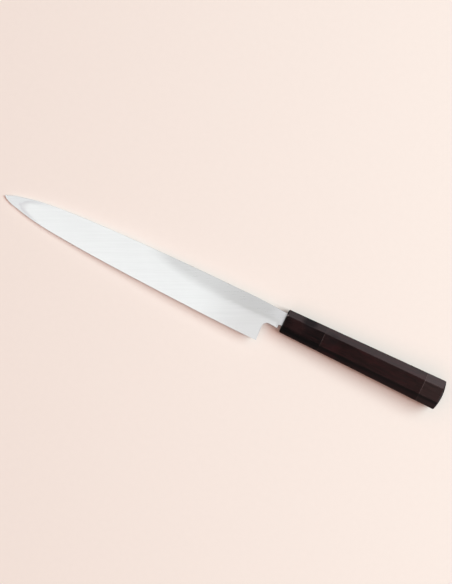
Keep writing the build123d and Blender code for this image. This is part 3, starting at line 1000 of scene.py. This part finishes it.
def wood(name, deep, mid, warm, pale, warm_at=None, dull_at=None, grain=1.0, rough=0.34, spec=0.28, seed=0.0, edge_gain=0.25,
         low_facet_shade=0.85, low_facet_shade_from=-5.2, top_dark=0.0, glint_at=None, pale_end=None, dull_amount=0.85):
    """Dense dark wood: long wavy grain, pores, warmer patches, worn corners with a painted edge highlight, painted
    shade along the edge side, and optional painted corner glints.
    """
    m = Nodes(name)
    kp = m.plus(m.attr("kp", "Vector"), (seed * 40.0, seed * 3.0, seed * 5.0))
    raw = m.attr("kp", "Vector")
    x, y, z = m.split(raw)
    corner, endface = m.attr("corner"), m.attr("endface")
    # growth rings bent by slow waves
    bend = m.noise(m.scale(kp, (0.035, 0.10, 0.10)), 1.0, 2.0, 0.5, out="Color")
    warped = m.plus(kp, m.scale(m.plus(bend, (-0.5, -0.5, -0.5)), (0.0, 7.0, 7.0)))
    rings = m.noise(m.scale(warped, (0.016, 0.62 * grain, 0.62 * grain)), 1.0, 4.0, 0.62, 0.3)
    fibre = m.noise(m.scale(warped, (0.06, 3.4, 3.4)), 1.0, 3.0, 0.65)
    pores = m.noise(m.scale(warped, (0.22, 7.5, 7.5)), 1.0, 2.0, 0.5)
    patch = m.noise(m.scale(kp, (0.045, 0.14, 0.14)), 1.0, 2.0, 0.5)
    tone = m.math("ADD", m.math("MULTIPLY", rings, 0.65), m.math("MULTIPLY", fibre, 0.35))
    colour = m.mix(m.between(tone, 0.36, 0.62), deep, mid)
    colour = m.mix(m.math("MULTIPLY", m.between(patch, 0.50, 0.72), 0.6), colour, warm)
    streak = m.noise(m.scale(warped, (0.034, 1.1, 1.1)), 1.0, 4.0, 0.62)
    colour = m.mix(m.math("MULTIPLY", m.between(streak, 0.50, 0.64), 0.6), colour, warm)
    colour = m.mix(m.math("MULTIPLY", m.between(streak, 0.46, 0.34), 0.6), colour, deep)
    if warm_at is not None:
        cx, cy, cz, size = warm_at
        d = m.node("ShaderNodeVectorMath", operation="DISTANCE")
        m.link(raw, d.inputs[0])
        d.inputs[1].default_value = (cx, cy, cz)
        blot = m.math("ADD", d.outputs["Value"], m.math("MULTIPLY", m.math("SUBTRACT", patch, 0.5), 10.0))
        colour = m.mix(m.math("MULTIPLY", m.between(blot, size, size * 0.3), 0.8), colour, warm)
    dull = None
    if dull_at is not None:
        cx, cy, cz, size = dull_at
        d = m.node("ShaderNodeVectorMath", operation="DISTANCE")
        m.link(raw, d.inputs[0])
        d.inputs[1].default_value = (cx, cy, cz)
        dull = m.between(m.math("ADD", d.outputs["Value"], m.math("MULTIPLY", m.math("SUBTRACT", patch, 0.5), 6.0)), size, size * 0.35)
        colour = m.mix(m.math("MULTIPLY", dull, dull_amount), colour, rgb(11, 12, 16))
    mottle = m.noise(m.scale(warped, (0.16, 0.9, 0.9)), 1.0, 3.0, 0.7)
    colour = m.mix(m.math("MULTIPLY", m.between(mottle, 0.50, 0.66), 0.35), colour, warm)
    colour = m.mix(m.math("MULTIPLY", m.between(mottle, 0.48, 0.36), 0.35), colour, deep)
    pore = m.between(pores, 0.60, 0.72)
    colour = m.mix(m.math("MULTIPLY", pore, 0.55), colour, tuple(c * 0.35 for c in deep))
    # worn corners: a little lighter and smoother; the lighter tone is partly a painted highlight along the long edges
    corner_wear_and_sheen = m.math("MULTIPLY", m.between(corner, 0.2, 1.0), m.between(m.noise(m.scale(kp, (0.12, 0.4, 0.4)), 1.0, 3.0, 0.6), 0.30, 0.62))
    colour = m.mix(m.math("MULTIPLY", corner_wear_and_sheen, edge_gain), colour, pale)
    colour = m.mix(m.math("MULTIPLY", endface, 0.5), colour, tuple(c * 0.7 for c in deep))
    # painted shade: the lower corner facet on the edge side is painted darker, standing in for the shade it lies in
    low = m.math("ADD", y, m.math("MULTIPLY", m.math("SUBTRACT", streak, 0.5), 1.5))
    shaded = m.math("MULTIPLY", m.between(low, low_facet_shade_from, -6.3, 0.0, low_facet_shade), m.between(low, -8.9, -7.4, 0.1, 1.0))
    colour = m.mix(shaded, colour, tuple(c * 0.25 for c in deep))
    if pale_end is not None:
        colour = m.mix(m.between(x, pale_end[0], pale_end[1], 0.0, pale_end[2]), colour, pale)
    if top_dark:
        colour = m.mix(m.between(y, 4.2, 6.0, 0.0, top_dark), colour, tuple(c * 0.6 for c in deep))
    # painted highlight: a small pale spot on a corner stands in for a glint
    if glint_at is not None:
        cx, cy, cz, size = glint_at
        d = m.node("ShaderNodeVectorMath", operation="DISTANCE")
        m.link(raw, d.inputs[0])
        d.inputs[1].default_value = (cx, cy, cz)
        colour = m.mix(m.between(d.outputs["Value"], size, size * 0.4), colour, rgb(150, 140, 140))
    m.set(Base_Color=colour)
    r = m.math("ADD", rough, m.math("MULTIPLY", m.math("SUBTRACT", fibre, 0.5), 0.18))
    r = m.math("ADD", r, m.math("MULTIPLY", pore, 0.18))
    r = m.math("SUBTRACT", r, m.math("MULTIPLY", corner_wear_and_sheen, 0.06))
    if dull is not None:
        r = m.math("ADD", r, m.math("MULTIPLY", dull, 0.47 * dull_amount))
    m.set(Roughness=r)
    m.shader.inputs["Specular IOR Level"].default_value = spec
    m.shader.inputs["IOR"].default_value = 1.5
    h = m.math("SUBTRACT", m.math("MULTIPLY", fibre, 0.5), m.math("MULTIPLY", pore, 0.8))
    n = m.bump(h, 0.35, 0.00004)
    n = m.bump(rings, 0.2, 0.00012, n)
    m.set(Normal=n)
    return m.mat


def local_coords(m):
    """Knife millimetres from the object's own coordinates, for CAD nodes."""
    tc = m.node("ShaderNodeTexCoord")
    mp = m.node("ShaderNodeMapping", vector_type="TEXTURE")
    m.link(tc.outputs["Object"], mp.inputs["Vector"])
    mp.inputs["Location"].default_value = tuple(ORIGIN / 1000)
    mp.inputs["Rotation"].default_value = (0.0, -TILT, 0.0)
    mp.inputs["Scale"].default_value = (0.001, 0.001, 0.001)
    return mp.outputs[0]


def dowel_wood():
    m = Nodes("core_wood")
    kp = local_coords(m)
    rings = m.noise(m.scale(kp, (0.02, 0.7, 0.7)), 1.0, 4.0, 0.6, 0.4)
    fibre = m.noise(m.scale(kp, (0.09, 4.0, 4.0)), 1.0, 3.0, 0.6)
    colour = m.mix(m.between(rings, 0.35, 0.65), (0.52, 0.36, 0.20), (0.70, 0.55, 0.36))
    colour = m.mix(m.math("MULTIPLY", m.between(fibre, 0.55, 0.75), 0.4), colour, (0.38, 0.24, 0.13))
    m.set(Base_Color=colour)
    m.set(Roughness=m.math("ADD", 0.6, m.math("MULTIPLY", fibre, 0.2)))
    m.set(Normal=m.bump(fibre, 0.4, 0.00005))
    return m.mat


def resin():
    m = Nodes("tang_resin")
    kp = local_coords(m)
    n = m.noise(m.scale(kp, (0.5, 0.5, 0.5)), 1.0, 3.0, 0.6)
    pits = m.noise(m.scale(kp, (3.0, 3.0, 3.0)), 1.0, 2.0, 0.5)
    colour = m.mix(n, (0.030, 0.024, 0.020), (0.075, 0.058, 0.048))
    m.set(Base_Color=colour)
    m.set(Roughness=m.math("ADD", 0.35, m.math("MULTIPLY", pits, 0.3)))
    m.set(Normal=m.bump(pits, 0.3, 0.00005))
    return m.mat


def floor_material():
    m = Nodes("plain_floor")
    tc = m.node("ShaderNodeTexCoord")
    n = m.noise(tc.outputs["Object"], 220.0, 4.0, 0.6)
    colour = m.mix(n, rgb(248, 236, 230), rgb(251, 239, 233))
    m.set(Base_Color=colour)
    m.shader.inputs["Roughness"].default_value = 0.85
    m.shader.inputs["Specular IOR Level"].default_value = 0.1
    m.set(Normal=m.bump(n, 0.1, 0.0001))
    return m.mat


steel_mat = steel()
ferrule_mat = wood(
    "ferrule_wood", rgb(15, 12, 13), rgb(28, 19, 20), rgb(42, 24, 25), rgb(84, 72, 72),
    warm_at=(12.0, 2.0, 8.5, 10.0), dull_at=(19.0, 8.0, 6.0, 8.0), glint_at=(0.5, 5.2, 8.0, 1.1), low_facet_shade_from=-2.6,
    grain=0.7, rough=0.30, spec=0.40, seed=0.13, edge_gain=0.12,
)
grip_mat = wood(
    "grip_wood", rgb(20, 12, 12), rgb(35, 22, 22), rgb(50, 22, 24), rgb(92, 74, 74),
    warm_at=(43.0, -7.5, 7.0, 8.0), pale_end=(50.0, 100.0, 0.035), dull_at=(41.0, 2.0, 8.2, 9.0), dull_amount=0.38, grain=1.0, rough=0.33, spec=0.50, seed=0.71, edge_gain=0.12,
)
cap_mat = wood(
    "butt_cap_wood", rgb(38, 28, 28), rgb(52, 39, 39), rgb(58, 37, 36), rgb(116, 98, 96),
    warm_at=(136.8, 6.5, 7.0, 4.5), glint_at=(138.3, 5.6, 9.6, 1.1), low_facet_shade=0.85, grain=0.8, rough=0.32, spec=0.60, seed=1.9, edge_gain=0.18,
)
liner_dark = wood(
    "ferrule_liner_veneer", rgb(54, 42, 42), rgb(74, 60, 60), rgb(70, 54, 54), rgb(98, 86, 84),
    grain=1.4, rough=0.42, spec=0.40, seed=2.7, edge_gain=0.15, top_dark=0.85,
)
liner_mat = wood(
    "cap_liner_veneer", rgb(66, 52, 52), rgb(88, 74, 73), rgb(82, 64, 63), rgb(124, 112, 110),
    grain=1.4, rough=0.42, spec=0.60, seed=3.4, edge_gain=0.2,
)

blade = make_blade(steel_mat)
ferrule = make_ferrule(ferrule_mat)
grip = make_grip(grip_mat)
cap = make_cap(cap_mat)
liner_a = make_liner("handle_ferrule_liner", "ferrule_liner", FERRULE_L, CORE_R, liner_dark, 5.3)
liner_b = make_liner("handle_cap_liner", "cap_liner", CAP_X - LINER_T / 2, CAP_R, liner_mat, 8.1)

core_mat, resin_mat = dowel_wood(), resin()
for node_name, mat, slot_name in (
    ("tang_dowel", core_mat, "core_wood"),
    ("cap_dowel", core_mat, "core_wood"),
    ("tang_resin", resin_mat, "resin"),
):
    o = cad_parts[node_name]
    o.data.materials.clear()
    o.data.materials.append(mat)

# ---------------------------------------------------------------------------
# Floor, light, camera
# ---------------------------------------------------------------------------
def floor():
    mesh = bpy.data.meshes.new("floor")
    n, half = 8, 3.0
    pts = [(-half + 2 * half * i / n, -half + 2 * half * j / n, 0.0) for j in range(n + 1) for i in range(n + 1)]
    quads = [
        (j * (n + 1) + i, j * (n + 1) + i + 1, (j + 1) * (n + 1) + i + 1, (j + 1) * (n + 1) + i)
        for j in range(n) for i in range(n)
    ]
    mesh.from_pydata(pts, [], quads)
    obj = bpy.data.objects.new("floor", mesh)
    bpy.context.scene.collection.objects.link(obj)
    mesh.materials.append(floor_material())
    obj.visible_diffuse = False
    return obj


ground = floor()


def area_light(name, where, target, size, size_y, power, colour=(1, 1, 1), spread=180):
    data = bpy.data.lights.new(name, "AREA")
    data.shape = "RECTANGLE"
    data.size, data.size_y = size, size_y
    data.energy = power
    data.color = colour
    data.spread = math.radians(spread)
    obj = bpy.data.objects.new(name, data)
    bpy.context.scene.collection.objects.link(obj)
    where, target = Vector(where), Vector(target)
    # its first side lies along the frame's x
    out = (where - target).normalized()
    along = Vector((1, 0, 0)) if abs(out.x) < 0.9 else Vector((0, 1, 0))
    side = (along - out * out.dot(along)).normalized()
    turn = Matrix((side, out.cross(side), out)).transposed()
    obj.matrix_world = Matrix.Translation(where) @ turn.to_4x4()
    obj.visible_camera = False
    return obj


middle = row_vec(-50, 0, 0)


def linked(light, name, pieces):
    """The light reaches these pieces only, and only the knife can shade it."""
    group = bpy.data.collections.new(name)
    for piece in pieces:
        group.objects.link(piece)
    light.light_linking.receiver_collection = group
    light.light_linking.blocker_collection = knife_group


knife_group = bpy.data.collections.new("knife_pieces")
for piece in (blade, ferrule, grip, cap, liner_a, liner_b):
    knife_group.objects.link(piece)
handle_pieces = (ferrule, grip, cap, liner_a, liner_b)

# a softbox overhead, a soft key above the spine side and a wide warm fill light
# everything
for name, offset, size, size_y, power, colour in (
    ("overhead", (1.25, 0.183, 2.85), 2.52, 0.535, 22.4, (1.0, 0.857, 0.833)),
    ("key", (1.90, 1.08, 2.40), 1.98, 2.2, 87.0, (0.689, 1.0, 1.04)),
    ("fill", (0.0, 0.0, 2.30), 5.0, 5.0, 48.9, (1.0, 0.534, 0.411)),
):
    light = area_light(name, middle + Vector(offset), middle, size, size_y, power, colour)
    light.visible_glossy = False

# what the pieces mirror: pale screens round the blade, a window by the handle
for name, offset, aim, size, size_y, power, colour, pieces in (
    ("panel", (0.0, 0.2, 1.9), (0.0, 0.2, 0.0), 2.8, 2.4, 25.7, (1.03, 1.003, 1.0), (blade,)),
    ("spine_screen", (0.0, 1.6, 0.57), (0.0, 0.0, 0.57), 3.8, 2.65, 33.3, (1.0, 1.0, 1.0), (blade,)),
    ("edge_screen", (0.0, -1.6, 0.57), (0.0, 0.0, 0.57), 3.8, 2.65, 25.3, (1.0, 1.0, 1.0), (blade,)),
    ("point_screen", (-1.9, 0.0, 0.57), (0.0, 0.0, 0.57), 3.2, 2.65, 21.3, (1.0, 1.0, 1.0), (blade,)),
    ("butt_screen", (1.9, 0.0, 0.57), (0.0, 0.0, 0.57), 3.2, 2.65, 21.3, (1.0, 1.0, 1.0), (blade,)),
    ("under_screen", (0.0, 0.0, -1.3), (0.0, 0.0, 0.0), 3.8, 3.2, 30.6, (1.0, 0.95, 0.93), (blade,)),
    ("window", (0.0, 1.6, 0.45), (0.0, 0.0, 0.45), 2.6, 1.6, 15.6, (1.0, 0.84, 0.86), handle_pieces),
    ("room", (0.0, -1.6, 0.45), (0.0, 0.0, 0.45), 2.6, 1.6, 1.1, (1.0, 0.9, 0.9), handle_pieces),
    ("butt_window", (1.9, 0.0, 0.45), (0.0, 0.0, 0.45), 3.2, 1.6, 8.0, (1.0, 0.9, 0.9), handle_pieces),
    ("point_window", (-1.9, 0.0, 0.45), (0.0, 0.0, 0.45), 3.2, 1.6, 4.8, (1.0, 0.9, 0.9), handle_pieces),
):
    light = area_light(name, middle + Vector(offset), middle + Vector(aim), size, size_y, power, colour)
    light.visible_diffuse = False
    linked(light, name + "_on", pieces)
ground.visible_glossy = False

world = bpy.data.worlds.new("studio")
bpy.context.scene.world = world
world.use_nodes = True
background = world.node_tree.nodes["Background"] if "Background" in world.node_tree.nodes else world.node_tree.nodes.new("ShaderNodeBackground")
background.inputs["Color"].default_value = (1.0, 0.90, 0.86, 1.0)
background.inputs["Strength"].default_value = 0.05

TURN = math.radians(25.64)
LEAN = math.radians(0.6)     # the view leans a little from the spine side
DISTANCE = 3000.0
PX_PER_MM = 1.261
cam_data = bpy.data.cameras.new("camera")
cam_data.sensor_fit = "HORIZONTAL"
cam_data.sensor_width = 36.0
cam_data.lens = 36.0 * DISTANCE * PX_PER_MM / 452.0
cam_data.clip_start, cam_data.clip_end = 0.05, 20.0
camera = bpy.data.objects.new("camera", cam_data)
bpy.context.scene.collection.objects.link(camera)
across = direction(0.0, math.cos(LEAN), -math.sin(LEAN))
right = math.cos(TURN) * direction(1.0, 0.0, 0.0) + math.sin(TURN) * across
up = math.cos(TURN) * across - math.sin(TURN) * direction(1.0, 0.0, 0.0)
back = direction(0.0, math.sin(LEAN), math.cos(LEAN))
place = row_vec(-51.4, 0.59, 2.0) + back * (DISTANCE / 1000)
camera.matrix_world = Matrix((
    (right.x, up.x, back.x, place.x),
    (right.y, up.y, back.y, place.y),
    (right.z, up.z, back.z, place.z),
    (0, 0, 0, 1),
))
bpy.context.scene.camera = camera

scene = bpy.context.scene
scene.view_settings.view_transform = "Standard"
scene.view_settings.look = "None"
scene.view_settings.exposure = 0.0
scene.view_settings.gamma = 1.0
